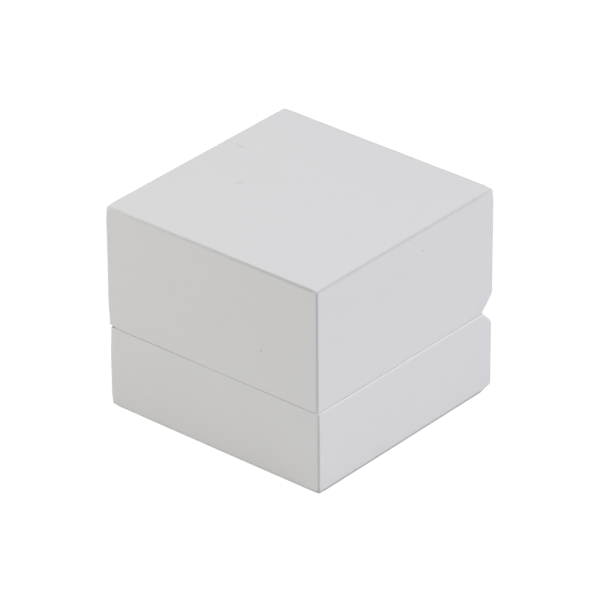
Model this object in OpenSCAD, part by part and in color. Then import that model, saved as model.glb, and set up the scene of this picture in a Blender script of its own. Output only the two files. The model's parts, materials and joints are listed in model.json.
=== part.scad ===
// Hinged ring box: a fibreboard shell wrapped in leatherette, with a steel snap
// hinge let into the rear walls, suede linings, a slotted velvet ring cushion in
// the base and a satin pad under the lid's roof.
// Origin: middle of the underside. X runs along the hinge, -Y is the front, Z is up.

/* [Outside] */
// Width of the box, along the hinge
box_w = 60; // [50:1:90]
// Depth of the lid, from front to rear
box_d = 60; // [50:1:90]
// Height of the closed box
box_h = 50; // [42:1:75]
// Height of the parting line above the table
parting_h = 20.2; // [17:0.1:26]

/* [Shell] */
// Thickness of the leatherette, with its backing paper
wrap_t = 0.5; // [0.4:0.1:0.7]
// Thickness of the front and side boards
wall_t = 3.5; // [2.5:0.5:5]
// Thickness of the base's bottom board
floor_t = 2.5; // [2:0.5:4]
// Thickness of the lid's top board
roof_t = 3; // [2:0.5:4]
// Gap between the two rims when the box is closed
rim_gap = 0.1; // [0.1:0.05:0.4]
// Length of the lid's 45 degree bevel, which makes the notch at the rear with the base's
rear_bevel = 3.5; // [3:0.1:4.2]
// How far the base stops short of the lid at the rear
rear_step = 0.6; // [0.4:0.1:0.8]
// How far the base's bevel stays from the lid's bevel when the box is open
bevel_gap = 0.1; // [0.1:0.05:0.4]
// How far the base sits to the right of the lid
side_step = 0.3; // [0:0.1:0.6]
// Radius of the outer edges
edge_r = 0.6; // [0.6:0.1:1.3]
// Size of the round on the rims
rim_r = 0.4; // [0.2:0.1:0.5]
// Length of the relief under the base's rear edge
heel_len = 4; // [3:0.5:5]
// Rise of that relief
heel_rise = 0.7; // [0.3:0.1:0.8]

/* [Foot pad] */
// Thickness of the velour pad under the base
foot_t = 0.3; // [0.3:0.1:1]
// Distance of the pad from the front and side faces
foot_margin = 3; // [2:0.5:6]

/* [Hinge] */
// Length of the hinge
hinge_w = 36; // [30:1:40]
// Number of knuckles, an odd number
knuckles = 5; // [3:2:5]
// Diameter of the barrel
barrel_d = 3; // [2.8:0.1:3.6]
// Diameter of the pin
pin_d = 1.5; // [1.3:0.1:1.5]
// Radial play of the pin in the lid's knuckles
pin_play = 0.05; // [0.02:0.01:0.08]
// Least gap between neighbouring knuckles
knuckle_gap = 0.3; // [0.2:0.05:0.4]
// Thickness of each leaf
leaf_t = 0.5; // [0.4:0.1:0.5]
// Height of each leaf, from the pin's axis
leaf_h = 9.5; // [9:0.5:11]
// Thickness of the snap spring
spring_t = 0.4; // [0.3:0.1:0.4]
// Gap between the snap spring and the cams at rest
spring_gap = 0.02; // [0.01:0.01:0.04]
// Width of each spring tongue
tongue_w = 4.4; // [3:0.2:4.4]
// Space between the hinge and the boards around it
hinge_clear = 0.25; // [0.2:0.05:0.3]
// How far the brad heads stay behind the rear linings
head_gap = 0.3; // [0.2:0.1:0.6]

/* [Brads] */
// Diameter of the shank
brad_d = 1.2; // [1:0.1:1.4]
// Length of the shank under the head
brad_len = 3.3; // [2.5:0.1:3.5]
// Diameter of the head
brad_head_d = 2.4; // [2.2:0.1:2.8]
// Height of the head
brad_head_h = 0.4; // [0.3:0.1:0.4]
// Distance between the two brads in a row
brad_pitch = 24; // [18:1:26]
// Radial clearance of a brad in the leaf
brad_play = 0.1; // [0.05:0.05:0.15]

/* [Linings] */
// Thickness of the suede-covered lining cards
lining_t = 0.8; // [0.6:0.1:1.2]
// How far the lining cards stay below the rims
lining_drop = 0.8; // [0.5:0.1:2]

/* [Ring cushion] */
// Depth from the base's rim down to the cushion
cushion_drop = 4.5; // [4.5:0.1:6]
// Thickness of the card under the cushion
card_t = 1; // [0.6:0.1:1.5]
// Thickness of the velvet
velvet_t = 0.4; // [0.3:0.1:0.6]
// Width of the slot that holds the ring
slot_w = 0.6; // [0.4:0.1:1.5]
// Radius of the rolls' upper edges
roll_r = 5; // [3:0.5:6]
// Gap between the cushions and the linings
pad_gap = 0.15; // [0.1:0.05:0.5]

/* [Lid pad] */
// Thickness of the foam under the lid's roof
lid_foam_t = 3; // [2:0.5:5]
// Thickness of the satin
satin_t = 0.3; // [0.2:0.1:0.5]

/* [Hidden] */
$fn = 48;
reach = 200; // longer than any part of the box

half_w = box_w / 2;
front_y = -box_d / 2;
lid_rear_y = box_d / 2;
base_rear_y = lid_rear_y - rear_step;
inner_x = half_w - wrap_t - wall_t;
inner_front_y = front_y + wrap_t + wall_t;
base_rim_z = parting_h - rim_gap / 2;
lid_rim_z = parting_h + rim_gap / 2;
floor_z = foot_t + floor_t;
roof_z = box_h - wrap_t - roof_t;

axis_y = lid_rear_y - rear_bevel;
base_apex_y = axis_y - bevel_gap;
barrel_r = barrel_d / 2;
leaf_face = barrel_r - 0.1; // from the pin's axis to a leaf's inner face
cam_face = leaf_face - spring_gap; // from the pin's axis to a cam's flats
cam_reach = cam_face * sqrt(2);
pocket_r = cam_reach + hinge_clear;
mortise_y = axis_y - leaf_face + leaf_t; // bottom of the mortises
leaf_start = barrel_r + hinge_clear; // a leaf's plate clears the other leaf's knuckles
spring_face = leaf_face + spring_t; // from the pin's axis to the spring's inner face
inner_rear_y = axis_y - spring_face - brad_head_h - head_gap; // the rear boards hold the whole hinge
knuckle_pitch = hinge_w / knuckles;
knuckle_len = knuckle_pitch - knuckle_gap - side_step;
brad_z = (leaf_start + leaf_h) / 2;

lining_rear_y = inner_rear_y - lining_t;
lining_front_y = inner_front_y + lining_t;
lining_x = inner_x - lining_t;
pad_x = lining_x - pad_gap;
pad_front_y = lining_front_y + pad_gap;
pad_rear_y = lining_rear_y - pad_gap;
cushion_z = floor_z + card_t;
cushion_top_z = base_rim_z - cushion_drop;
roll_d = (pad_rear_y - pad_front_y - slot_w) / 2;

BOARD = [0.70, 0.58, 0.42];
LEATHERETTE = [0.86, 0.86, 0.86];
SUEDE = [0.90, 0.89, 0.86];
VELVET = [0.93, 0.92, 0.90];
SATIN = [0.96, 0.96, 0.95];
FOAM = [0.95, 0.93, 0.80];
CARD = [0.78, 0.76, 0.72];
STEEL = [0.75, 0.76, 0.78];
VELOUR = [0.80, 0.80, 0.80];

// ---- placing and cutting ----

module at_base() {
    translate([side_step / 2, 0, 0]) children();
}

module at_lid() {
    translate([-side_step / 2, 0, 0]) children();
}

// Block between two corners
module block(low, high) {
    translate(low) cube(high - low);
}

// A profile drawn in Y and Z, run along X about the middle
module along_x(len) {
    rotate([90, 0, 90]) translate([0, 0, -len / 2]) linear_extrude(len) children();
}

// What lies behind a 45 degree plane through (apex_y, parting_h), moved in by inset.
// side is 1 for the lid and -1 for the base.
module bevel_cut(apex_y, side, inset) {
    y = apex_y - inset * sqrt(2);
    along_x(reach) polygon([
        [y - 2, parting_h - side * 2],
        [y + 20, parting_h + side * 20],
        [y + 20, parting_h - side * 2]]);
}

// The shallow relief under the base's rear edge, starting at height z
module heel_cut(z) {
    slope = heel_rise / (heel_len - edge_r);
    start_y = base_rear_y - heel_len;
    along_x(reach) polygon([
        [start_y, z],
        [base_rear_y + 1, z + slope * (heel_len + 1)],
        [base_rear_y + 1, z - 3],
        [start_y, z - 3]]);
}

// Mortises for both leaves and the pocket around the barrel
module hinge_cut() {
    cut_h = leaf_h + hinge_clear;
    block([-hinge_w / 2 - hinge_clear, inner_rear_y - 1, parting_h - cut_h],
        [hinge_w / 2 + hinge_clear, mortise_y, parting_h + cut_h]);
    translate([-hinge_w / 2 - hinge_clear, axis_y, parting_h]) rotate([0, 90, 0])
        cylinder(h = hinge_w + 2 * hinge_clear, r = pocket_r);
}

module brad_places(side) {
    for (x = [-1, 1], z = [-1, 1])
        translate([x * brad_pitch / 2, 0, parting_h + side * (brad_z + z * brad_head_d * 0.7)])
            rotate([-90, 0, 0]) children();
}

module brad_holes(side, radius) {
    brad_places(side) translate([0, 0, inner_rear_y - 1])
        cylinder(h = mortise_y + brad_len - inner_rear_y + 1, r = radius);
}

// ---- shell ----

// Outside of the base (side -1) or the lid (side 1): round at the closed end, eased at the rim
module shell_outside(side, rear_y, far_z, rim_z, relief_len, relief_rise) {
    x = half_w - edge_r;
    hull() for (sx = [-x, x]) {
        for (p = [[front_y + edge_r, 0], [rear_y - max(edge_r, relief_len), 0],
                [rear_y - edge_r, relief_rise]])
            translate([sx, p[0], far_z - side * (edge_r + p[1])]) sphere(edge_r, $fn = 32);
        for (y = [front_y + edge_r, rear_y - edge_r])
            translate([sx, y, rim_z + side * rim_r]) mirror([0, 0, side > 0 ? 1 : 0])
                cylinder(h = rim_r, r1 = edge_r, r2 = edge_r - rim_r, $fn = 32);
    }
}

module base_board_space() {
    difference() {
        block([-half_w + wrap_t, front_y + wrap_t, foot_t + wrap_t],
            [half_w - wrap_t, base_rear_y - wrap_t, base_rim_z - wrap_t]);
        bevel_cut(base_apex_y, -1, wrap_t);
        heel_cut(foot_t + wrap_t);
    }
}

module lid_board_space() {
    difference() {
        block([-half_w + wrap_t, front_y + wrap_t, lid_rim_z + wrap_t],
            [half_w - wrap_t, lid_rear_y - wrap_t, box_h - wrap_t]);
        bevel_cut(axis_y, 1, wrap_t);
    }
}

module base_wrap() {
    color(LEATHERETTE) at_base() difference() {
        shell_outside(-1, base_rear_y, foot_t, base_rim_z, heel_len, heel_rise);
        base_board_space();
        block([-inner_x, inner_front_y, -1], [inner_x, inner_rear_y, parting_h]);
        bevel_cut(base_apex_y, -1, 0);
        hinge_cut();
    }
}

module lid_wrap() {
    color(LEATHERETTE) at_lid() difference() {
        shell_outside(1, lid_rear_y, box_h, lid_rim_z, 0, 0);
        lid_board_space();
        block([-inner_x, inner_front_y, parting_h], [inner_x, inner_rear_y, roof_z]);
        bevel_cut(axis_y, 1, 0);
        hinge_cut();
    }
}

module base_wall(low_y, high_y) {
    color(BOARD) at_base() intersection() {
        base_board_space();
        block([-half_w, low_y, 0], [half_w, high_y, box_h]);
    }
}

module lid_wall(low_y, high_y) {
    color(BOARD) at_lid() intersection() {
        lid_board_space();
        block([-half_w, low_y, 0], [half_w, high_y, roof_z]);
    }
}

module base_front_board() {
    base_wall(front_y, inner_front_y);
}

module base_rear_board() {
    difference() {
        base_wall(inner_rear_y, base_rear_y);
        at_base() {
            hinge_cut();
            brad_holes(-1, brad_d / 2);
        }
    }
}

// side is -1 for left and 1 for right
module base_side_board(side) {
    x = side * (inner_x + wall_t / 2);
    color(BOARD) at_base() block([x - wall_t / 2, inner_front_y, foot_t + wrap_t],
        [x + wall_t / 2, inner_rear_y, base_rim_z - wrap_t]);
}

module base_left_board() {
    base_side_board(-1);
}

module base_right_board() {
    base_side_board(1);
}

module base_bottom_board() {
    color(BOARD) at_base() block([-inner_x, inner_front_y, foot_t], [inner_x, inner_rear_y, floor_z]);
}

module lid_front_board() {
    lid_wall(front_y, inner_front_y);
}

module lid_rear_board() {
    difference() {
        lid_wall(inner_rear_y, lid_rear_y);
        at_lid() {
            hinge_cut();
            brad_holes(1, brad_d / 2);
        }
    }
}

module lid_side_board(side) {
    x = side * (inner_x + wall_t / 2);
    color(BOARD) at_lid() block([x - wall_t / 2, inner_front_y, lid_rim_z + wrap_t],
        [x + wall_t / 2, inner_rear_y, roof_z]);
}

module lid_left_board() {
    lid_side_board(-1);
}

module lid_right_board() {
    lid_side_board(1);
}

module lid_top_board() {
    color(BOARD) at_lid() block([-half_w + wrap_t, front_y + wrap_t, roof_z],
        [half_w - wrap_t, lid_rear_y - wrap_t, box_h - wrap_t]);
}

module base_foot_pad() {
    color(VELOUR) at_base() block([-half_w + foot_margin, front_y + foot_margin, 0],
        [half_w - foot_margin, base_rear_y - heel_len - 1, foot_t]);
}

// ---- linings ----

// Card across the front or the rear, between two heights
module cross_lining(low_y, low_z, high_z) {
    color(SUEDE) block([-inner_x, low_y, low_z], [inner_x, low_y + lining_t, high_z]);
}

// Card along the left (-1) or the right (1)
module side_lining(side, low_z, high_z) {
    x = side * (inner_x - lining_t / 2);
    color(SUEDE) block([x - lining_t / 2, lining_front_y, low_z],
        [x + lining_t / 2, lining_rear_y, high_z]);
}

module base_lining_front() {
    at_base() cross_lining(inner_front_y, floor_z, base_rim_z - lining_drop);
}

module base_lining_rear() {
    at_base() cross_lining(lining_rear_y, floor_z, base_rim_z - lining_drop);
}

module base_lining_left() {
    at_base() side_lining(-1, floor_z, base_rim_z - lining_drop);
}

module base_lining_right() {
    at_base() side_lining(1, floor_z, base_rim_z - lining_drop);
}

module lid_lining_front() {
    at_lid() cross_lining(inner_front_y, lid_rim_z + lining_drop, roof_z);
}

module lid_lining_rear() {
    at_lid() cross_lining(lining_rear_y, lid_rim_z + lining_drop, roof_z);
}

module lid_lining_left() {
    at_lid() side_lining(-1, lid_rim_z + lining_drop, roof_z);
}

module lid_lining_right() {
    at_lid() side_lining(1, lid_rim_z + lining_drop, roof_z);
}

// ---- ring cushion ----

// Section of one roll: flat underneath, with round upper edges
module roll_section(low_y, inset) {
    low = low_y + inset;
    high = low_y + roll_d - inset;
    top = cushion_top_z - inset;
    r = roll_r - inset;
    intersection() {
        translate([low, cushion_z + inset]) square([high - low, top - cushion_z - inset]);
        union() {
            translate([low, cushion_z + inset]) square([high - low, top - r - cushion_z - inset]);
            translate([low + r, cushion_z + inset]) square([high - low - 2 * r, top - cushion_z - inset]);
            for (y = [low + r, high - r]) translate([y, top - r]) circle(r);
        }
    }
}

module ring_cushion_board() {
    color(CARD) at_base() block([-pad_x, pad_front_y, floor_z], [pad_x, pad_rear_y, cushion_z]);
}

module cushion_foam(low_y) {
    color(FOAM) at_base() along_x(2 * (pad_x - velvet_t)) roll_section(low_y, velvet_t);
}

module ring_cushion_foam_front() {
    cushion_foam(pad_front_y);
}

module ring_cushion_foam_rear() {
    cushion_foam(pad_rear_y - roll_d);
}

module ring_cushion_cover() {
    color(VELVET) at_base() difference() {
        union() {
            for (y = [pad_front_y, pad_rear_y - roll_d]) along_x(2 * pad_x) roll_section(y, 0);
            block([-pad_x, pad_front_y, cushion_z], [pad_x, pad_rear_y, cushion_z + velvet_t]);
        }
        for (y = [pad_front_y, pad_rear_y - roll_d])
            along_x(2 * (pad_x - velvet_t)) roll_section(y, velvet_t);
    }
}

// ---- lid pad ----

module lid_pad_board() {
    color(CARD) at_lid() block([-pad_x + satin_t, pad_front_y + satin_t, roof_z - card_t],
        [pad_x - satin_t, pad_rear_y - satin_t, roof_z]);
}

module lid_pad_foam() {
    color(FOAM) at_lid()
        block([-pad_x + satin_t, pad_front_y + satin_t, roof_z - card_t - lid_foam_t],
            [pad_x - satin_t, pad_rear_y - satin_t, roof_z - card_t]);
}

module lid_pad_cover() {
    low_z = roof_z - card_t - lid_foam_t;
    color(SATIN) at_lid() difference() {
        block([-pad_x, pad_front_y, low_z - satin_t], [pad_x, pad_rear_y, roof_z]);
        block([-pad_x + satin_t, pad_front_y + satin_t, low_z],
            [pad_x - satin_t, pad_rear_y - satin_t, roof_z + 1]);
    }
}

// ---- hinge ----

// X of knuckle i's middle, counted from the left
function knuckle_x(i) = (i - (knuckles - 1) / 2) * knuckle_pitch;

// Plate of one leaf, with a finger up to each of its knuckles
module leaf_plate(side, first) {
    y = axis_y - leaf_face;
    block([-hinge_w / 2, y, min(parting_h + side * leaf_start, parting_h + side * leaf_h)],
        [hinge_w / 2, y + leaf_t, max(parting_h + side * leaf_start, parting_h + side * leaf_h)]);
    for (i = [first : 2 : knuckles - 1])
        block([knuckle_x(i) - knuckle_len / 2, y, min(parting_h, parting_h + side * (leaf_start + 1))],
            [knuckle_x(i) + knuckle_len / 2, y + leaf_t,
                max(parting_h, parting_h + side * (leaf_start + 1))]);
}

module hinge_base_leaf() {
    color(STEEL) at_base() difference() {
        union() {
            leaf_plate(-1, 0);
            for (i = [0 : 2 : knuckles - 1])
                translate([knuckle_x(i) - knuckle_len / 2, axis_y, parting_h]) rotate([0, 90, 0])
                    cylinder(h = knuckle_len, r = barrel_r);
        }
        translate([-hinge_w, axis_y, parting_h]) rotate([0, 90, 0])
            cylinder(h = 2 * hinge_w, r = pin_d / 2);
        brad_holes(-1, brad_d / 2 + brad_play);
    }
}

// Section of a lid knuckle: round, with a square cam corner to the front and below
module cam_section() {
    intersection() {
        union() {
            circle(barrel_r);
            translate([-cam_face, -cam_face]) square(cam_face);
        }
        translate([-cam_face, -cam_face]) square(cam_face + 2 * barrel_r);
    }
}

module hinge_lid_leaf() {
    color(STEEL) at_lid() difference() {
        union() {
            leaf_plate(1, 1);
            for (i = [1 : 2 : knuckles - 2])
                translate([knuckle_x(i), axis_y, parting_h]) along_x(knuckle_len) cam_section();
        }
        translate([-hinge_w, axis_y, parting_h]) rotate([0, 90, 0])
            cylinder(h = 2 * hinge_w, r = pin_d / 2 + pin_play);
        brad_holes(1, brad_d / 2 + brad_play);
    }
}

module hinge_pin() {
    len = knuckle_x(knuckles - 1) - knuckle_x(0) + knuckle_len;
    color(STEEL) at_base() translate([-len / 2, axis_y, parting_h]) rotate([0, 90, 0])
        cylinder(h = len, r = pin_d / 2);
}

// Flat spring on the base leaf, with one tongue in front of each cam
module hinge_snap_spring() {
    y = axis_y - spring_face;
    color(STEEL) difference() {
        union() {
            at_base() block([-hinge_w / 2, y, parting_h - leaf_h],
                [hinge_w / 2, y + spring_t, parting_h - leaf_start]);
            for (i = [1 : 2 : knuckles - 2])
                block([knuckle_x(i) - tongue_w / 2, y, parting_h - leaf_start - 1],
                    [knuckle_x(i) + tongue_w / 2, y + spring_t, parting_h - spring_t]);
        }
        at_base() brad_holes(-1, brad_d / 2 + brad_play);
    }
}

module brads(side, face_y) {
    color(STEEL) brad_places(side) translate([0, 0, face_y]) {
        cylinder(h = brad_len, r = brad_d / 2);
        translate([0, 0, -brad_head_h]) cylinder(h = brad_head_h, r = brad_head_d / 2);
    }
}

module hinge_base_brads() {
    at_base() brads(-1, axis_y - spring_face);
}

module hinge_lid_brads() {
    at_lid() brads(1, axis_y - leaf_face);
}

base_front_board();
base_rear_board();
base_left_board();
base_right_board();
base_bottom_board();
base_wrap();
base_foot_pad();
base_lining_front();
base_lining_rear();
base_lining_left();
base_lining_right();
ring_cushion_board();
ring_cushion_foam_front();
ring_cushion_foam_rear();
ring_cushion_cover();
hinge_base_leaf();
hinge_pin();
hinge_snap_spring();
hinge_base_brads();
lid_front_board();
lid_rear_board();
lid_left_board();
lid_right_board();
lid_top_board();
lid_wrap();
lid_lining_front();
lid_lining_rear();
lid_lining_left();
lid_lining_right();
lid_pad_board();
lid_pad_foam();
lid_pad_cover();
hinge_lid_leaf();
hinge_lid_brads();
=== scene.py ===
import json
import math
import bmesh
import bpy
from mathutils import Matrix, Vector


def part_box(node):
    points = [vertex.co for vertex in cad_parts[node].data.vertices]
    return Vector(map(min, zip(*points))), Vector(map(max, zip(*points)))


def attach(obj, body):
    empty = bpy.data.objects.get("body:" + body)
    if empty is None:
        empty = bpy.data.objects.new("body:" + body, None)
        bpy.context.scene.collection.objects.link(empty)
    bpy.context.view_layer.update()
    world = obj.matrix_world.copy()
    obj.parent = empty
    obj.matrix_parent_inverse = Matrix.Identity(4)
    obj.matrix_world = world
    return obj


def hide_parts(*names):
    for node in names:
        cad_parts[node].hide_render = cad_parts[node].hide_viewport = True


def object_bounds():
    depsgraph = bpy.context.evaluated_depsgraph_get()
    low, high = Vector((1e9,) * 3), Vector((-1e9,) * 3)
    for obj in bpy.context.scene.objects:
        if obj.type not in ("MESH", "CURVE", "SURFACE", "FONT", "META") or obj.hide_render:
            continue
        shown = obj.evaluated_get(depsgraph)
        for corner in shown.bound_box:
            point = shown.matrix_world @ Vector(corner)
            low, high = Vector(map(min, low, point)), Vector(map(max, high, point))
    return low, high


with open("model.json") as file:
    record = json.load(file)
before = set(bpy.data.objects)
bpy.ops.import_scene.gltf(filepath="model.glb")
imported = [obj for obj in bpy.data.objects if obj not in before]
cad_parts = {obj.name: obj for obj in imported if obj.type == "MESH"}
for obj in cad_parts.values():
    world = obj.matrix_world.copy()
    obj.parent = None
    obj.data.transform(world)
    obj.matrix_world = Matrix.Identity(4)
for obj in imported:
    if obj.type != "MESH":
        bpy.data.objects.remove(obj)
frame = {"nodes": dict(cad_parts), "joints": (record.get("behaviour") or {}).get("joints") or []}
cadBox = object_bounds()
scene = bpy.context.scene
mm = 0.001
tiny = 0.01 * mm  # places nearer than this are the same
print("frame loaded:", len(frame["nodes"]), "nodes")

# places that several pieces share, all from the frame
hinge = frame["joints"][0]
axisY = hinge["pos_m"][1]
axisZ = hinge["pos_m"][2]
lidLow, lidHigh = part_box("lid_wrap")
baseLow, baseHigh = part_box("base_wrap")
bevelLeg = lidHigh.y - axisY
bevelGap = 0.1 * mm  # between the two bevels when the box is open


# modelling helpers

def useOnly(piece):
    bpy.ops.object.select_all(action="DESELECT")
    piece.select_set(True)
    bpy.context.view_layer.objects.active = piece


def addBlock(name, low, high):
    bpy.ops.object.select_all(action="DESELECT")
    bpy.ops.mesh.primitive_cube_add(size=1, location=(low + high) / 2, scale=high - low)
    piece = bpy.context.active_object
    piece.name = piece.data.name = name
    bpy.ops.object.transform_apply(location=True, rotation=True, scale=True)
    return piece


def startEdit(piece, mode="FACE"):
    useOnly(piece)
    bpy.ops.object.mode_set(mode="EDIT")
    bpy.ops.mesh.select_mode(type=mode)


def endEdit():
    bpy.ops.object.mode_set(mode="OBJECT")


def slicePlane(point, normal, clear=False):
    bpy.ops.mesh.select_all(action="SELECT")
    bpy.ops.mesh.bisect(plane_co=point, plane_no=normal, use_fill=clear, clear_outer=clear, threshold=1e-6)


def sliceGrid(low, high, cell, fixed, margin):
    for axis in range(3):
        normal = Vector((0, 0, 0))
        normal[axis] = 1
        start = low[axis] + margin[axis][0]
        end = high[axis] - margin[axis][1]
        places = sorted(list(fixed[axis]) + [start, end])
        cuts = list(places)
        for a, b in zip(places, places[1:]):
            count = int((b - a) / cell)
            cuts += [a + (b - a) * (i + 1) / (count + 1) for i in range(count)]
        for cut in cuts:
            slicePlane(normal * cut, normal)


def pickFaces(piece, test):
    bpy.ops.mesh.select_mode(type="FACE")
    bpy.ops.mesh.select_all(action="DESELECT")
    mesh = bmesh.from_edit_mesh(piece.data)
    for face in mesh.faces:
        face.select_set(test(face.calc_center_median(), face.normal))
    bmesh.update_edit_mesh(piece.data)


def pickEdges(piece, test):
    bpy.ops.mesh.select_mode(type="EDGE")
    bpy.ops.mesh.select_all(action="DESELECT")
    mesh = bmesh.from_edit_mesh(piece.data)
    for edge in mesh.edges:
        a, b = (v.co for v in edge.verts)
        if test((a + b) / 2, (b - a).normalized()):
            edge.select_set(True)
    bmesh.update_edit_mesh(piece.data)


def applyAll(piece):
    useOnly(piece)
    for modifier in list(piece.modifiers):
        bpy.ops.object.modifier_apply(modifier=modifier.name)


def roundEdges(piece, roundAt, largest, steps):
    mesh = bmesh.new()
    mesh.from_mesh(piece.data)
    weight = mesh.edges.layers.float.new("bevel_weight_edge")
    for edge in mesh.edges:
        if len(edge.link_faces) == 2 and edge.calc_face_angle() > 0.1:
            a, b = (v.co for v in edge.verts)
            edge[weight] = roundAt((a + b) / 2, (b - a).normalized()) / largest
    mesh.to_mesh(piece.data)
    mesh.free()
    bevel = piece.modifiers.new("Round", "BEVEL")
    bevel.limit_method = "WEIGHT"
    bevel.width = largest
    bevel.segments = steps
    bevel.use_clamp_overlap = False
    applyAll(piece)


def unevenSurface(piece, amount, size):
    texture = bpy.data.textures.new(piece.name + "Uneven", "CLOUDS")
    texture.noise_scale = size
    texture.noise_depth = 1
    displace = piece.modifiers.new("Uneven", "DISPLACE")
    displace.texture = texture
    displace.texture_coords = "LOCAL"
    displace.strength = amount
    displace.mid_level = 0.5
    applyAll(piece)


def smoothPiece(piece, angle=35):
    useOnly(piece)
    bpy.ops.object.shade_smooth_by_angle(angle=math.radians(angle))
    normals = piece.modifiers.new("Normals", "WEIGHTED_NORMAL")
    normals.keep_sharp = True
    normals.weight = 80
    applyAll(piece)


def place(piece, body, slot, material, *nodes):
    piece.data.materials.clear()
    piece.data.materials.append(material)
    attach(piece, body)
    if nodes:
        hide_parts(*nodes)


# material helpers

def feed(tree, socket, value):
    if isinstance(value, bpy.types.NodeSocket):
        tree.links.new(value, socket)
    else:
        socket.default_value = value


def addNode(tree, kind, inputs, **settings):
    node = tree.nodes.new(kind)
    for key, value in settings.items():
        setattr(node, key, value)
    for socket, value in inputs.items():
        feed(tree, node.inputs[socket], value)
    return node


def addMath(tree, operation, *values):
    node = addNode(tree, "ShaderNodeMath", dict(enumerate(values)), operation=operation)
    return node.outputs[0]


def addVectorMath(tree, operation, *values):
    node = addNode(tree, "ShaderNodeVectorMath", dict(enumerate(values)), operation=operation)
    return node.outputs["Value" if operation == "LENGTH" else "Vector"]


def addRamp(tree, value, start, end, **settings):  # 0 at start, 1 at end
    inputs = {"Value": value, "From Min": start, "From Max": end}
    return addNode(tree, "ShaderNodeMapRange", inputs, **settings).outputs["Result"]


def splitVector(tree, vector):
    return addNode(tree, "ShaderNodeSeparateXYZ", {0: vector}).outputs


def addMix(tree, factor, first, second):
    node = tree.nodes.new("ShaderNodeMix")
    node.data_type = "RGBA"
    tree.links.new(factor, node.inputs["Factor"])
    for socket, value in (("A", first), ("B", second)):
        feed(tree, [s for s in node.inputs if s.name == socket and s.type == "RGBA"][0], value)
    return [s for s in node.outputs if s.type == "RGBA"][0]


def newGroup(name, inputs, outputs):
    tree = bpy.data.node_groups.new(name, "ShaderNodeTree")
    for socketName, kind, value in inputs:
        socket = tree.interface.new_socket(socketName, in_out="INPUT", socket_type="NodeSocket" + kind)
        if value is not None:
            socket.default_value = value
    for socketName, kind in outputs:
        tree.interface.new_socket(socketName, in_out="OUTPUT", socket_type="NodeSocket" + kind)
    source = tree.nodes.new("NodeGroupInput").outputs
    result = tree.nodes.new("NodeGroupOutput").inputs
    return tree, source, result


def useGroup(tree, group, **values):
    node = tree.nodes.new("ShaderNodeGroup")
    node.node_tree = group
    for name, value in values.items():
        feed(tree, node.inputs[name], value)
    return node.outputs


def newMaterial(name, **shaderSettings):
    material = bpy.data.materials.new(name)
    material.use_nodes = True
    tree = material.node_tree
    shader = tree.nodes["Principled BSDF"]
    for key, value in shaderSettings.items():
        shader.inputs[key].default_value = value
    where = tree.nodes.new("ShaderNodeTexCoord").outputs["Object"]
    return material, tree, shader, where


def addBump(tree, shader, height, strength, distance):
    bump = addNode(tree, "ShaderNodeBump", {"Strength": strength, "Distance": distance, "Height": height})
    tree.links.new(bump.outputs["Normal"], shader.inputs["Normal"])


# soft blotches of a colour, a little lighter and darker
mottle, source, result = newGroup(
    "Mottle",
    [("Vector", "Vector", None), ("Color", "Color", (1, 1, 1, 1)),
     ("Size", "Float", 0.01), ("Amount", "Float", 0.02)],
    [("Color", "Color")])
perMetre = addMath(mottle, "DIVIDE", 1.0, source["Size"])
clouds = addNode(mottle, "ShaderNodeTexNoise", {"Vector": source["Vector"], "Scale": perMetre, "Detail": 3.0})
swing = addMath(mottle, "MULTIPLY_ADD", clouds.outputs["Fac"], 2.0, -1.0)
level = addMath(mottle, "MULTIPLY_ADD", swing, source["Amount"], 1.0)
mottle.links.new(addVectorMath(mottle, "MULTIPLY", source["Color"], level), result["Color"])

# pebbled grain of coated leather: rounded cells with fine creases between
grain, source, result = newGroup(
    "PebbleGrain",
    [("Vector", "Vector", None), ("Size", "Float", 0.0004)],
    [("Height", "Float")])
perMetre = addMath(grain, "DIVIDE", 1.0, source["Size"])
wobble = addNode(grain, "ShaderNodeTexNoise", {"Vector": source["Vector"], "Scale": perMetre, "Detail": 2.0})
cells = addNode(grain, "ShaderNodeTexVoronoi", {"Vector": source["Vector"], "Scale": perMetre},
                feature="SMOOTH_F1")
pebble = addMath(grain, "SUBTRACT", 1.0, cells.outputs["Distance"])
mixed = addMath(grain, "MULTIPLY_ADD", wobble.outputs["Fac"], 0.6, pebble)  # 0.6 is the wobble's share
grain.links.new(mixed, result["Height"])

# short fibres standing up from a cloth: two sizes of noise
nap, source, result = newGroup(
    "Nap",
    [("Vector", "Vector", None), ("Size", "Float", 0.0003)],
    [("Height", "Float"), ("Shade", "Float")])
perMetre = addMath(nap, "DIVIDE", 1.0, source["Size"])
fibres = addNode(nap, "ShaderNodeTexNoise", {"Vector": source["Vector"], "Scale": perMetre, "Detail": 4.0})
coarse = addMath(nap, "MULTIPLY", perMetre, 0.08)  # brushed patches are about twelve fibres wide
brushed = addNode(nap, "ShaderNodeTexNoise", {"Vector": source["Vector"], "Scale": coarse, "Detail": 2.0})
nap.links.new(fibres.outputs["Fac"], result["Height"])
shade = addMath(nap, "MULTIPLY_ADD", fibres.outputs["Fac"], 0.5, brushed.outputs["Fac"])
nap.links.new(addMath(nap, "MULTIPLY", shade, 0.667), result["Shade"])  # back to between 0 and 1

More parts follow.
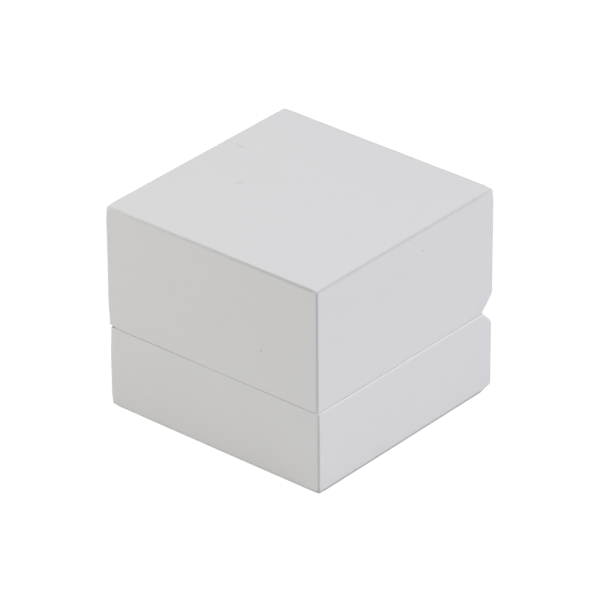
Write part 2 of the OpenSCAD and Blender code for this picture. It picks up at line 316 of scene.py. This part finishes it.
# how near a point is to an edge of the box from Low to High: 1 on the edge, 0 at Width
edgeLine, source, result = newGroup(
    "EdgeLine",
    [("Vector", "Vector", None), ("Low", "Vector", None), ("High", "Vector", None),
     ("Width", "Float", 0.001)],
    [("Mask", "Float")])
fromLow = addVectorMath(edgeLine, "SUBTRACT", source["Vector"], source["Low"])
fromHigh = addVectorMath(edgeLine, "SUBTRACT", source["High"], source["Vector"])
parts = splitVector(edgeLine, addVectorMath(edgeLine, "MINIMUM", fromLow, fromHigh))
smaller = addMath(edgeLine, "MINIMUM", parts["X"], parts["Y"])
larger = addMath(edgeLine, "MAXIMUM", parts["X"], parts["Y"])
middle = addMath(edgeLine, "MAXIMUM", smaller, addMath(edgeLine, "MINIMUM", larger, parts["Z"]))
share = addMath(edgeLine, "DIVIDE", middle, source["Width"])
mask = addRamp(edgeLine, share, 1.0, 0.0, interpolation_type="SMOOTHSTEP")
edgeLine.links.new(mask, result["Mask"])

# a faint bent rub mark: Size is half its length and half its width
scuff, source, result = newGroup(
    "Scuff",
    [("Vector", "Vector", None), ("Place", "Vector", None), ("Turn", "Vector", None),
     ("Size", "Vector", None), ("Bend", "Float", 0.0)],
    [("Mask", "Float")])
turned = addNode(scuff, "ShaderNodeMapping", {"Vector": source["Vector"], "Location": source["Place"],
                                              "Rotation": source["Turn"], "Scale": source["Size"]},
                 vector_type="TEXTURE").outputs["Vector"]
parts = splitVector(scuff, turned)
bow = addMath(scuff, "MULTIPLY", addMath(scuff, "POWER", parts["X"], 2.0), source["Bend"])
bent = addNode(scuff, "ShaderNodeCombineXYZ", {"X": parts["X"], "Y": addMath(scuff, "ADD", parts["Y"], bow),
                                               "Z": parts["Z"]}).outputs[0]
away = addVectorMath(scuff, "LENGTH", bent)
mask = addRamp(scuff, away, 1.0, 0.3, interpolation_type="SMOOTHSTEP")
scuff.links.new(mask, result["Mask"])
print("shared effects made")


# materials

leatherette = {
    "color": (0.73, 0.73, 0.735, 1),
    # the side, top and bottom edge colours are painted shade on the rounded edges, darkest where the edges face
    # away from the lamps; along the base's bottom it is a painted contact shadow
    "sideCrease": (0.46, 0.46, 0.46, 1),
    # front edge's left end, its right end, right edge
    "topCrease": ((0.60, 0.60, 0.60, 1), (0.43, 0.43, 0.43, 1), (0.53, 0.53, 0.53, 1)),
    "bottomCrease": ((0.66, 0.66, 0.66, 1), (0.60, 0.60, 0.60, 1), (0.42, 0.42, 0.42, 1)),
    "roughness": 0.5,
    "specular": 0.35,
    "blotch": 9 * mm,
    "blotchAmount": 0.012,
    "grainSize": 0.35 * mm,
    "grainHeight": 0.012 * mm,
    "creaseWidth": 0.5 * mm,
    "farCreaseWidth": 0.8 * mm,
    "bottomClimb": 0.2 * mm,  # how far the painted contact shadow along the bottom climbs
    "beyondRim": 20 * mm,  # moves the painted edge shade off the rims
    "farFade": (1.5 * mm, 0.5 * mm),  # where the painted shade of the side edges turns into that of the far ones
    "rightFade": (1.5 * mm, 0.8 * mm),
    "rimFade": (0.35 * mm, 0.1 * mm),
    "rubbedRim": (0.79, 0.79, 0.795, 1),  # painted highlight on the base's rim along the right, where its ledge catches the overhead lamp
    "scuffColor": (0.62, 0.62, 0.62, 1),
    "scuffs": [  # place, turn, half sizes, bend
        (Vector((-25.4, 9.5, 50.0)) * mm, 15, Vector((1.7, 0.35, 1.0)) * mm, 0.6),
        (Vector((-14.7, -3.7, 50.0)) * mm, 40, Vector((1.7, 0.35, 1.0)) * mm, 1.4),
        (Vector((14.1, -30.0, 30.1)) * mm, 0, Vector((0.5, 1.0, 0.6)) * mm, 0.0),
        (Vector((29.85, 5.3, 45.0)) * mm, 0, Vector((1.0, 0.45, 0.5)) * mm, 0.0),
    ],
}


def makeLeatherette(name, low, high, side):
    look = leatherette
    material, tree, shader, where = newMaterial(name, Roughness=look["roughness"])
    shader.inputs["Specular IOR Level"].default_value = look["specular"]
    color = useGroup(tree, mottle, Vector=where, Color=look["color"], Size=look["blotch"],
                     Amount=look["blotchAmount"])["Color"]
    parts = splitVector(tree, where)
    across, height = parts["X"], parts["Z"]

    # painted shade on the rounded edges, darker where they face away from the lamps: the far end's differ from
    # the sides', and the rims have none
    if side > 0:
        farZ = high.z
        lineLow = low - Vector((0, 0, look["beyondRim"]))
        lineHigh = high
        frontLeft, frontRight, right = look["topCrease"]
    else:
        farZ = low.z
        lineLow = low + Vector((0, 0, look["bottomClimb"]))
        lineHigh = high + Vector((0, 0, look["beyondRim"]))
        frontLeft, frontRight, right = look["bottomCrease"]
    nearFar = addRamp(tree, height, *(farZ - side * away for away in look["farFade"]))
    wider = look["farCreaseWidth"] - look["creaseWidth"]
    width = addMath(tree, "MULTIPLY_ADD", nearFar, wider, look["creaseWidth"])
    line = useGroup(tree, edgeLine, Vector=where, Low=lineLow, High=lineHigh, Width=width)["Mask"]
    alongFront = addRamp(tree, across, low.x, high.x)
    nearRight = addRamp(tree, across, *(high.x - away for away in look["rightFade"]))
    farShadeColor = addMix(tree, alongFront, frontLeft, frontRight)
    farShadeColor = addMix(tree, nearRight, farShadeColor, right)
    shadeColor = addMix(tree, nearFar, look["sideCrease"], farShadeColor)
    color = addMix(tree, line, color, shadeColor)

    if side < 0:
        # painted highlight along the right of the base's rim
        nearRim = addRamp(tree, height, *(high.z - away for away in look["rimFade"]))
        color = addMix(tree, addMath(tree, "MULTIPLY", nearRim, nearRight), color, look["rubbedRim"])
    else:
        for spot, turn, halfSize, bend in look["scuffs"]:
            mark = useGroup(tree, scuff, Vector=where, Place=spot, Turn=(0, 0, math.radians(turn)),
                            Size=halfSize, Bend=bend)["Mask"]
            color = addMix(tree, mark, color, look["scuffColor"])
    tree.links.new(color, shader.inputs["Base Color"])
    pebbles = useGroup(tree, grain, Vector=where, Size=look["grainSize"])["Height"]
    addBump(tree, shader, pebbles, 1.0, look["grainHeight"])
    return material


cloth = {
    "suede": {"color": (0.80, 0.79, 0.76, 1), "nap": 0.12 * mm, "height": 0.02 * mm, "sheen": 0.35},
    "velvet": {"color": (0.82, 0.81, 0.78, 1), "nap": 0.16 * mm, "height": 0.04 * mm, "sheen": 0.8},
    "velour": {"color": (0.66, 0.66, 0.66, 1), "nap": 0.18 * mm, "height": 0.04 * mm, "sheen": 0.5},
    "roughness": 0.95,
    "sheenRoughness": 0.4,
    "blotch": 6 * mm,
    "blotchAmount": 0.015,
    "darkest": 0.88,  # between the fibres
    "lift": 0.24,  # from there to their tips
}


def makeNapped(name):
    look = cloth[name]
    material, tree, shader, where = newMaterial(name, Roughness=cloth["roughness"])
    shader.inputs["Sheen Weight"].default_value = look["sheen"]
    shader.inputs["Sheen Roughness"].default_value = cloth["sheenRoughness"]
    fibre = useGroup(tree, nap, Vector=where, Size=look["nap"])
    color = useGroup(tree, mottle, Vector=where, Color=look["color"], Size=cloth["blotch"],
                     Amount=cloth["blotchAmount"])["Color"]
    level = addMath(tree, "MULTIPLY_ADD", fibre["Shade"], cloth["lift"], cloth["darkest"])
    tree.links.new(addVectorMath(tree, "MULTIPLY", color, level), shader.inputs["Base Color"])
    addBump(tree, shader, fibre["Height"], 1.0, look["height"])
    return material


satin = {
    "color": (0.86, 0.86, 0.84, 1),
    "roughness": 0.34,
    "anisotropy": 0.6,
    "sheen": 0.25,
    "blotch": 5 * mm,
    "blotchAmount": 0.02,
    "threadsPerMetre": 1100.0,
    "threadWander": 0.4,
    "weftShare": 0.35,
    "bump": (0.6, 0.006 * mm),  # strength, height
}


def makeSatin():
    look = satin
    material, tree, shader, where = newMaterial("satin", Roughness=look["roughness"])
    shader.inputs["Anisotropic"].default_value = look["anisotropy"]
    shader.inputs["Sheen Weight"].default_value = look["sheen"]
    color = useGroup(tree, mottle, Vector=where, Color=look["color"], Size=look["blotch"],
                     Amount=look["blotchAmount"])["Color"]
    tree.links.new(color, shader.inputs["Base Color"])
    waves = {"Vector": where, "Scale": look["threadsPerMetre"], "Distortion": look["threadWander"]}
    warp, weft = (addNode(tree, "ShaderNodeTexWave", waves, bands_direction=axis).outputs["Fac"]
                  for axis in "XY")
    addBump(tree, shader, addMath(tree, "MULTIPLY_ADD", weft, look["weftShare"], warp), *look["bump"])
    return material


card = {
    "color": (0.62, 0.60, 0.56, 1),
    "roughness": 0.85,
    "blotch": 0.8 * mm,
    "blotchAmount": 0.12,
    "fibre": 0.25 * mm,
    "bump": (1.0, 0.02 * mm),  # strength, height
}

fibreboard = {
    "color": (0.50, 0.37, 0.24, 1),
    "roughness": 0.8,
    "blotch": 0.6 * mm,
    "blotchAmount": 0.25,
    "fibre": 0.3 * mm,
    "bump": (1.0, 0.03 * mm),
    "primedReach": (3.2 * mm, 2.8 * mm),  # white inside the hinge's pocket
}


def makePressed(name, look):
    material, tree, shader, where = newMaterial(name, Roughness=look["roughness"])
    color = useGroup(tree, mottle, Vector=where, Color=look["color"], Size=look["blotch"],
                     Amount=look["blotchAmount"])["Color"]
    if "primedReach" in look:
        fromPin = addVectorMath(tree, "SUBTRACT", where, (0, axisY, axisZ))
        reach = addVectorMath(tree, "LENGTH", addVectorMath(tree, "MULTIPLY", fromPin, (0, 1, 1)))
        color = addMix(tree, addRamp(tree, reach, *look["primedReach"]), color, leatherette["color"])
    tree.links.new(color, shader.inputs["Base Color"])
    fibre = useGroup(tree, nap, Vector=where, Size=look["fibre"])
    addBump(tree, shader, fibre["Height"], *look["bump"])
    return material


steel = {
    "nickel": ((0.74, 0.73, 0.70, 1), 0.26),  # colour, roughness
    "springSteel": ((0.62, 0.62, 0.63, 1), 0.36),
    "stretch": (60, 2200, 2200),  # rolling lines along the hinge
    "roughnessSwing": 0.16,
    "blotch": 1.2 * mm,
    "blotchAmount": 0.05,
    "bump": (0.5, 0.004 * mm),  # strength, height
}


def makeSteel(name):
    color, roughness = steel[name]
    swing = steel["roughnessSwing"]
    material, tree, shader, where = newMaterial(name, Metallic=1.0)
    stretched = addNode(tree, "ShaderNodeMapping", {"Vector": where, "Scale": steel["stretch"]}).outputs[0]
    noise = addNode(tree, "ShaderNodeTexNoise", {"Vector": stretched, "Scale": 1.0, "Detail": 3.0})
    lines = noise.outputs["Fac"]
    rough = addMath(tree, "MULTIPLY_ADD", lines, swing, roughness - swing / 2)
    tree.links.new(rough, shader.inputs["Roughness"])
    tint = useGroup(tree, mottle, Vector=where, Color=color, Size=steel["blotch"],
                    Amount=steel["blotchAmount"])["Color"]
    tree.links.new(tint, shader.inputs["Base Color"])
    addBump(tree, shader, lines, *steel["bump"])
    return material


finish = {
    "lidLeatherette": makeLeatherette("lidLeatherette", lidLow, lidHigh, 1),
    "baseLeatherette": makeLeatherette("baseLeatherette", baseLow, baseHigh, -1),
    "suede": makeNapped("suede"),
    "velvet": makeNapped("velvet"),
    "velour": makeNapped("velour"),
    "satin": makeSatin(),
    "card": makePressed("card", card),
    "fibreboard": makePressed("fibreboard", fibreboard),
    "nickel": makeSteel("nickel"),
    "springSteel": makeSteel("springSteel"),
}
print("materials made:", len(finish))


# leatherette skins

skin = {
    "edgeRound": 0.6 * mm,
    "underRound": 0.35 * mm,
    "rimRound": {"lid_wrap": 0.07 * mm, "base_wrap": 0.22 * mm},
    "notchRound": {"lid_wrap": 2.0 * mm, "base_wrap": 0.9 * mm},  # where the rear face turns into the notch
    "apexRound": 0.7 * mm,
    "notchSideRound": 0.7 * mm,
    "lipRound": 0.3 * mm,
    "lipDepth": 0.85 * mm,
    "lipProud": 0.06 * mm,  # the turned-in lip lies on the boards' inner faces
    "thickness": 0.45 * mm,
    "cell": 4 * mm,
    "edgeMargin": 2.5 * mm,  # no cuts this near an edge, so that it can be rounded
    "farMargin": 3 * mm,
    "largestRound": 2 * mm,
    "roundSteps": 6,
    "heldShare": 0.4,  # of the reach, at a soft corner
    "softCorners": {  # side in x and y, end, move inwards in mm, reach
        "lid_wrap": [
            (-1, -1, "far", (0.13, 0.13, 0.13), 2.2 * mm),
            (1, -1, "far", (0.04, 0.04, 0.04), 1.5 * mm),
            (-1, 1, "far", (0.04, 0.04, 0.04), 1.5 * mm),
            (1, 1, "far", (0.13, 0.13, 0.13), 2.2 * mm),
            (-1, -1, "rim", (0.12, 0.14, 0.42), 2.2 * mm),  # the rims part a little at this corner
            (1, -1, "rim", (0.04, 0.04, 0.02), 1.5 * mm),
        ],
        "base_wrap": [
            (-1, -1, "far", (0.12, 0.12, 0.12), 2.0 * mm),
            (1, -1, "far", (0.05, 0.05, 0.05), 1.5 * mm),
            (1, 1, "far", (0.12, 0.12, 0.12), 2.0 * mm),
            (-1, -1, "rim", (0.16, 0.14, 0.34), 2.2 * mm),
            (1, -1, "rim", (0.08, 0.08, 0.02), 1.5 * mm),
        ],
    },
    "rightRimLift": 0.07 * mm,  # the base's rim stands a little higher at the right
    "rightRimBand": (0.6 * mm, 0.25 * mm),  # its width and depth
    "unevenness": 0.06 * mm,
    "unevenSize": 14 * mm,
    "heelLength": 4 * mm,
    "heelSlope": 0.23,
    "pocketRound": 2.2 * mm,
    "pocketLength": 36.5 * mm,
}


def makeSkin(name, node, body, side, material):
    low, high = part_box(node)
    boardPrefix = "lid_" if side > 0 else "base_"
    innerLow = Vector((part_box(boardPrefix + "left_board")[1].x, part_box(boardPrefix + "front_board")[1].y, 0))
    innerHigh = Vector((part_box(boardPrefix + "right_board")[0].x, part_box(boardPrefix + "rear_board")[0].y, 0))
    proud = Vector((1, 1, 0)) * skin["lipProud"]
    innerLow += proud
    innerHigh -= proud
    rimZ = low.z if side > 0 else high.z
    farZ = high.z if side > 0 else low.z
    notchY = axisY if side > 0 else axisY - bevelGap
    notchTop = axisZ + side * (high.y - notchY)
    piece = addBlock(name, low, high)
    startEdit(piece)
    slicePlane((0, notchY, axisZ), Vector((0, 1, -side)).normalized(), clear=True)
    if side < 0:
        heel = Vector((0, skin["heelSlope"], -1)).normalized()
        slicePlane((0, high.y - skin["heelLength"], low.z), heel, clear=True)
    middleX = (low.x + high.x) / 2
    pocketHalf = skin["pocketLength"] / 2
    fixed = [
        [innerLow.x, middleX - pocketHalf, middleX + pocketHalf, innerHigh.x],
        [innerLow.y, innerHigh.y],
        [],
    ]
    edgeMargin = skin["edgeMargin"]
    farMargin = skin["farMargin"]
    rimMargin = bevelLeg + edgeMargin
    sliceGrid(low, high, skin["cell"], fixed, [
        (edgeMargin, edgeMargin),
        (edgeMargin, high.y - innerHigh.y),
        (rimMargin, farMargin) if side > 0 else (farMargin, rimMargin)])

    def inside(middle):
        return innerLow.x < middle.x < innerHigh.x and innerLow.y < middle.y < innerHigh.y

    pickFaces(piece, lambda middle, normal: inside(middle) and abs(middle.z - rimZ) < tiny)
    bpy.ops.mesh.extrude_region_move(TRANSFORM_OT_translate={"value": (0, 0, side * skin["lipDepth"])})
    bpy.ops.mesh.delete(type="FACE")
    alongNotch = Vector((0, 1, side)).normalized()
    slicePlane(Vector((0, axisY, axisZ)) + alongNotch * skin["pocketRound"], alongNotch)

    def inPocket(middle):
        reach = math.hypot(middle.y - axisY, middle.z - axisZ)
        atMortise = abs(middle.y - innerHigh.y) < tiny and abs(middle.z - rimZ) < skin["lipDepth"]
        return abs(middle.x - middleX) < pocketHalf and (reach < skin["pocketRound"] or atMortise)

    pickFaces(piece, lambda middle, normal: inPocket(middle))
    bpy.ops.mesh.delete(type="FACE")
    if side < 0:  # the wrap is turned in under the walls, and the bottom board stays bare
        pickFaces(piece, lambda middle, normal: inside(middle) and abs(middle.z - farZ) < tiny)
        bpy.ops.mesh.delete(type="FACE")
    endEdit()

    def roundAt(middle, along):
        atRim = abs(middle.z - rimZ) < tiny
        atLip = (innerLow.x - tiny < middle.x < innerHigh.x + tiny
                 and innerLow.y - tiny < middle.y < innerHigh.y + tiny)
        if atLip and abs(along.z) < 0.5 and atRim:
            return skin["lipRound"]
        if atLip and not atRim and abs(middle.z - rimZ) < 2 * skin["lipDepth"]:
            return 0
        if atRim and abs(along.x) > 0.5 and middle.y > innerHigh.y:
            return skin["apexRound"]
        if atRim:
            return skin["rimRound"][node]
        if abs(middle.z - notchTop) < 10 * tiny and abs(along.x) > 0.5:
            return skin["notchRound"][node]
        if abs(along.y) > 0.3 and abs(along.z) > 0.5:
            return skin["notchSideRound"]
        if side < 0 and abs(middle.y - high.y + skin["heelLength"]) < 10 * tiny and abs(along.x) > 0.5:
            return 0
        if side < 0 and abs(along.z) < 0.5:
            return skin["underRound"]
        return skin["edgeRound"]

    roundEdges(piece, roundAt, skin["largestRound"], skin["roundSteps"])
    softenCorners(piece, node, low, high, side)
    if side < 0:
        liftRightRim(piece, high)
    unevenSurface(piece, skin["unevenness"], skin["unevenSize"])
    wall = piece.modifiers.new("Wall", "SOLIDIFY")
    wall.thickness = skin["thickness"]
    wall.offset = -1
    wall.use_even_offset = True
    applyAll(piece)
    smoothPiece(piece)
    place(piece, body, "white_leatherette", material, node)
    print("skin made:", name, len(piece.data.polygons), "faces")


def pickPoints(piece, test):
    mesh = bmesh.from_edit_mesh(piece.data)
    for vertex in mesh.verts:
        vertex.select_set(test(vertex.co))
    bmesh.update_edit_mesh(piece.data)


def softenCorners(piece, node, low, high, side):
    startEdit(piece, "VERT")
    for sideX, sideY, end, move, reach in skin["softCorners"][node]:
        sideZ = -side if end == "rim" else side
        corner = Vector((high.x if sideX > 0 else low.x,
                         high.y if sideY > 0 else low.y,
                         high.z if sideZ > 0 else low.z))
        inward = Vector((-sideX * move[0], -sideY * move[1], -sideZ * move[2])) * mm
        pickPoints(piece, lambda point: (point - corner).length < skin["heldShare"] * reach)
        bpy.ops.transform.translate(value=inward, use_proportional_edit=True,
                                    proportional_edit_falloff="SMOOTH", proportional_size=reach)
    endEdit()


def liftRightRim(piece, high):
    across, down = skin["rightRimBand"]
    startEdit(piece, "VERT")
    pickPoints(piece, lambda point: point.x > high.x - across and point.z > high.z - down)
    bpy.ops.transform.translate(value=(0, 0, skin["rightRimLift"]))
    endEdit()


makeSkin("lid_leatherette", "lid_wrap", "lid", 1, finish["lidLeatherette"])
makeSkin("base_leatherette", "base_wrap", "base", -1, finish["baseLeatherette"])


# lining cards

lining = {
    "foldRound": 0.35 * mm,  # suede turned over the card's free edge
    "edgeRound": 0.1 * mm,
    "roundSteps": 4,
    "cell": 3 * mm,
    "rows": 5,
    "unevenness": 0.05 * mm,
    "unevenSize": 6 * mm,
}


def makeLining(node, body, side):
    low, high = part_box(node)
    piece = addBlock(node.replace("lining", "suede"), low, high)
    freeZ = high.z if side < 0 else low.z
    startEdit(piece)
    longAxis = 0 if high.x - low.x > high.y - low.y else 1
    columns = int((high[longAxis] - low[longAxis]) / lining["cell"])
    for axis, count in ((longAxis, columns), (2, lining["rows"])):
        normal = Vector((0, 0, 0))
        normal[axis] = 1
        for i in range(1, count):
            slicePlane(normal * (low[axis] + (high[axis] - low[axis]) * i / count), normal)
    endEdit()

    def roundAt(middle, along):
        return lining["foldRound"] if abs(middle.z - freeZ) < tiny else lining["edgeRound"]

    roundEdges(piece, roundAt, lining["foldRound"], lining["roundSteps"])
    unevenSurface(piece, lining["unevenness"], lining["unevenSize"])
    smoothPiece(piece)
    place(piece, body, "lining_suede", finish["suede"], node)


for wall in ("front", "rear", "left", "right"):
    makeLining("base_lining_" + wall, "base", -1)
    makeLining("lid_lining_" + wall, "lid", 1)
print("linings made")


# padded pieces

clothSim = {
    "scale": 10,  # cloth behaves better on a piece ten times as large
    "frames": 24,
    "quality": 6,
    "mass": 0.2,
    "stiffness": 12,
    "bending": 0.4,
}


def remeshPiece(piece, voxel):
    remesh = piece.modifiers.new("Remesh", "REMESH")
    remesh.mode = "VOXEL"
    remesh.voxel_size = voxel
    applyAll(piece)


def puffCloth(piece, look, isHeld, low, high):
    rest = [v.co.copy() for v in piece.data.vertices]
    held = piece.vertex_groups.new(name="held")
    held.add([v.index for v in piece.data.vertices if isHeld(v.co)], 1, "REPLACE")
    piece.scale = (clothSim["scale"],) * 3
    useOnly(piece)
    bpy.ops.object.transform_apply(location=False, rotation=False, scale=True)
    modifier = piece.modifiers.new("Cloth", "CLOTH")
    settings = modifier.settings
    settings.quality = clothSim["quality"]
    settings.mass = clothSim["mass"]
    settings.tension_stiffness = clothSim["stiffness"]
    settings.compression_stiffness = clothSim["stiffness"]
    settings.bending_stiffness = clothSim["bending"]
    settings.use_pressure = True
    settings.uniform_pressure_force = look["pressure"]
    settings.shrink_min = -look["grow"]
    settings.vertex_group_mass = "held"
    settings.effector_weights.gravity = 0
    modifier.point_cache.frame_start = 1
    modifier.point_cache.frame_end = clothSim["frames"]
    for step in range(1, clothSim["frames"] + 1):
        scene.frame_set(step)
    applyAll(piece)
    scene.frame_set(1)
    piece.vertex_groups.clear()
    piece.scale = (1 / clothSim["scale"],) * 3
    bpy.ops.object.transform_apply(location=False, rotation=False, scale=True)
    for vertex, start in zip(piece.data.vertices, rest):
        move = vertex.co - start
        if move.length > look["reach"]:
            vertex.co = start + move * (look["reach"] / move.length)
        for axis in range(3):
            vertex.co[axis] = min(max(vertex.co[axis], low[axis]), high[axis])


def relaxPiece(piece, steps):
    smooth = piece.modifiers.new("Smooth", "SMOOTH")
    smooth.iterations = steps
    smooth.factor = 0.5
    applyAll(piece)
    smoothPiece(piece, 60)


cushion = {
    "velvet": 0.4 * mm,  # over the foam
    "startInset": 0.5 * mm,
    "edgeRound": 4.2 * mm,
    "edgeSteps": 8,
    "endRound": 1.1 * mm,
    "endSteps": 4,
    "voxel": 0.55 * mm,
    "pressure": 5,
    "grow": 0.014,
    "reach": 0.9 * mm,
    "heldHeight": 0.8 * mm,
    "relaxSteps": 4,
    "fill": 0.8,
}


def makeRoll(name, foamNode, others):
    foamLow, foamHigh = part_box(foamNode)
    velvet = Vector((1, 1, 1)) * cushion["velvet"]
    low = foamLow - velvet
    high = foamHigh + velvet
    inset = cushion["startInset"]
    startLow = low + Vector((inset, inset, 0))
    startHigh = high - Vector((inset, inset, inset))
    piece = addBlock(name, startLow, startHigh)
    startEdit(piece, "EDGE")
    pickEdges(piece, lambda middle, along: abs(middle.z - startHigh.z) < tiny and abs(along.x) > 0.5)
    bpy.ops.mesh.bevel(offset=cushion["edgeRound"], segments=cushion["edgeSteps"])

    def atEnd(middle, along):
        nearest = min(abs(middle.x - startLow.x), abs(middle.x - startHigh.x))
        return nearest < tiny and middle.z > low.z + mm

    pickEdges(piece, atEnd)
    bpy.ops.mesh.bevel(offset=cushion["endRound"], segments=cushion["endSteps"])
    endEdit()
    remeshPiece(piece, cushion["voxel"])
    heldTop = low.z + cushion["heldHeight"]
    puffCloth(piece, cushion, lambda point: point.z < heldTop, low, high)
    relaxPiece(piece, cushion["relaxSteps"])
    place(piece, "base", "cushion_velvet", finish["velvet"], foamNode, *others)


makeRoll("ring_cushion_front", "ring_cushion_foam_front", ["ring_cushion_cover"])
makeRoll("ring_cushion_rear", "ring_cushion_foam_rear", [])
print("ring cushion made")

lidPad = {
    "startInset": 0.6 * mm,
    "edgeRound": 1.4 * mm,
    "edgeSteps": 5,
    "voxel": 0.6 * mm,
    "pressure": 3,
    "grow": 0.03,
    "reach": 1.2 * mm,
    "sag": 0.6 * mm,
    "heldHeight": 2.2 * mm,
    "relaxSteps": 3,
    "fill": 0.5,
}


def makeLidPad():
    low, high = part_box("lid_pad_cover")
    inset = lidPad["startInset"]
    startLow = low + Vector((inset, inset, inset))
    piece = addBlock("lid_pad_satin", startLow, high - Vector((inset, inset, 0)))
    startEdit(piece, "EDGE")
    pickEdges(piece, lambda middle, along: abs(middle.z - startLow.z) < tiny)
    bpy.ops.mesh.bevel(offset=lidPad["edgeRound"], segments=lidPad["edgeSteps"])
    endEdit()
    remeshPiece(piece, lidPad["voxel"])
    heldBottom = high.z - lidPad["heldHeight"]
    lowest = low - Vector((0, 0, lidPad["sag"]))
    puffCloth(piece, lidPad, lambda point: point.z > heldBottom, lowest, high)
    relaxPiece(piece, lidPad["relaxSteps"])
    place(piece, "lid", "pad_satin", finish["satin"], "lid_pad_cover", "lid_pad_foam")


makeLidPad()
print("lid pad made")


# foot pad

footPad = {"cornerRound": 2.5 * mm, "edgeRound": 0.12 * mm, "roundSteps": 6}


def makeFootPad():
    low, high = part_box("base_foot_pad")
    piece = addBlock("base_velour_foot", low, high)

    def roundAt(middle, along):
        return footPad["cornerRound"] if abs(along.z) > 0.5 else footPad["edgeRound"]

    roundEdges(piece, roundAt, footPad["cornerRound"], footPad["roundSteps"])
    smoothPiece(piece)
    place(piece, "base", "foot_velour", finish["velour"], "base_foot_pad")


makeFootPad()
print("foot pad made")


# carried-over parts

carried = {
    "fibreboard": ["base_front_board", "base_rear_board", "base_left_board", "base_right_board",
                   "base_bottom_board", "lid_front_board", "lid_rear_board", "lid_left_board",
                   "lid_right_board", "lid_top_board"],
    "card": ["ring_cushion_board", "lid_pad_board"],
    "nickel": ["hinge_base_leaf", "hinge_lid_leaf", "hinge_pin", "hinge_base_brads", "hinge_lid_brads"],
    "springSteel": ["hinge_snap_spring"],
}
for look, nodes in carried.items():
    for node in nodes:
        part = frame["nodes"][node]
        part.data.materials.clear()
        part.data.materials.append(finish[look])
print("carried-over parts finished")


# studio

studio = {
    "floorSize": 6,
    "floorGap": 0.05 * mm,
    "floorGrey": 0.85,
    "floorRoughness": 0.9,
    "floorGlow": 0.05,
    "floorWhite": 1.02,  # what the camera sees of it
    "world": (0.2, (1.0, 1.0, 1.0)),
    "lights": {  # azimuth, elevation, distance, size, power, colour
        "overhead": (60, 79, 1.2, 1.4, 13.1, (0.967, 0.979, 1.0)),
        "left": (-60, 10, 0.45, 0.4, 0.98, (1.0, 0.94, 0.781)),
        "right": (130, 12, 1.2, 1.0, 7.0, (0.933, 0.895, 1.0)),
    },
}


def makeFloor():
    bpy.ops.object.select_all(action="DESELECT")
    bpy.ops.mesh.primitive_plane_add(size=studio["floorSize"], location=(0, 0, -studio["floorGap"]))
    floor = bpy.context.active_object
    bpy.ops.object.transform_apply(location=True, rotation=False, scale=False)
    floor.name = "studio_floor"
    material, tree, shader = newMaterial("studioPaper", Roughness=studio["floorRoughness"])[:3]
    shader.inputs["Base Color"].default_value = (*[studio["floorGrey"]] * 3, 1)
    shader.inputs["Emission Color"].default_value = (1, 1, 1, 1)
    shader.inputs["Emission Strength"].default_value = studio["floorGlow"]
    glow = addNode(tree, "ShaderNodeEmission", {"Color": (1, 1, 1, 1), "Strength": studio["floorWhite"]})
    seen = tree.nodes.new("ShaderNodeLightPath")
    mix = tree.nodes.new("ShaderNodeMixShader")
    tree.links.new(seen.outputs["Is Camera Ray"], mix.inputs[0])
    tree.links.new(shader.outputs[0], mix.inputs[1])
    tree.links.new(glow.outputs[0], mix.inputs[2])
    tree.links.new(mix.outputs[0], tree.nodes["Material Output"].inputs["Surface"])
    floor.data.materials.append(material)


def aroundBox(azimuth, elevation, distance, aim):
    turn = math.radians(azimuth)
    lift = math.radians(elevation)
    away = Vector((math.sin(turn) * math.cos(lift), -math.cos(turn) * math.cos(lift), math.sin(lift)))
    return aim + away * distance


def makeLights():
    aim = Vector((0, 0, (cadBox[0].z + cadBox[1].z) / 2))
    for name, (azimuth, elevation, distance, size, power, color) in studio["lights"].items():
        data = bpy.data.lights.new(name, "AREA")
        data.shape = "SQUARE"
        data.size = size
        data.energy = power
        data.color = color
        lamp = bpy.data.objects.new(name, data)
        scene.collection.objects.link(lamp)
        lamp.location = aroundBox(azimuth, elevation, distance, aim)
        lamp.rotation_euler = (lamp.location - aim).to_track_quat("Z", "Y").to_euler()
    strength, color = studio["world"]
    world = bpy.data.worlds.new("studio")
    world.use_nodes = True
    background = world.node_tree.nodes["Background"]
    background.inputs["Color"].default_value = (*color, 1)
    background.inputs["Strength"].default_value = strength
    scene.world = world


camera = {
    "azimuth": 40.43,
    "elevation": 29.64,
    "roll": -0.41,
    "distance": 1.15,
    "lens": 314.5,
    "aim": (-0.0005, 0.0001, 0.0241),
}


def makeCamera():
    data = bpy.data.cameras.new("camera")
    data.lens = camera["lens"]
    data.sensor_width = 36
    data.clip_start = 0.01
    data.clip_end = 20
    eye = bpy.data.objects.new("camera", data)
    scene.collection.objects.link(eye)
    turn = Matrix.Rotation(math.radians(camera["azimuth"]), 4, "Z")
    tilt = Matrix.Rotation(math.radians(90 - camera["elevation"]), 4, "X")
    roll = Matrix.Rotation(math.radians(camera["roll"]), 4, "Z")
    where = aroundBox(camera["azimuth"], camera["elevation"], camera["distance"], Vector(camera["aim"]))
    eye.matrix_world = Matrix.Translation(where) @ turn @ tilt @ roll
    scene.camera = eye


makeFloor()
makeLights()
makeCamera()
scene.view_settings.view_transform = "Standard"
scene.view_settings.look = "None"
scene.view_settings.exposure = 0
scene.view_settings.gamma = 1
print("studio made")
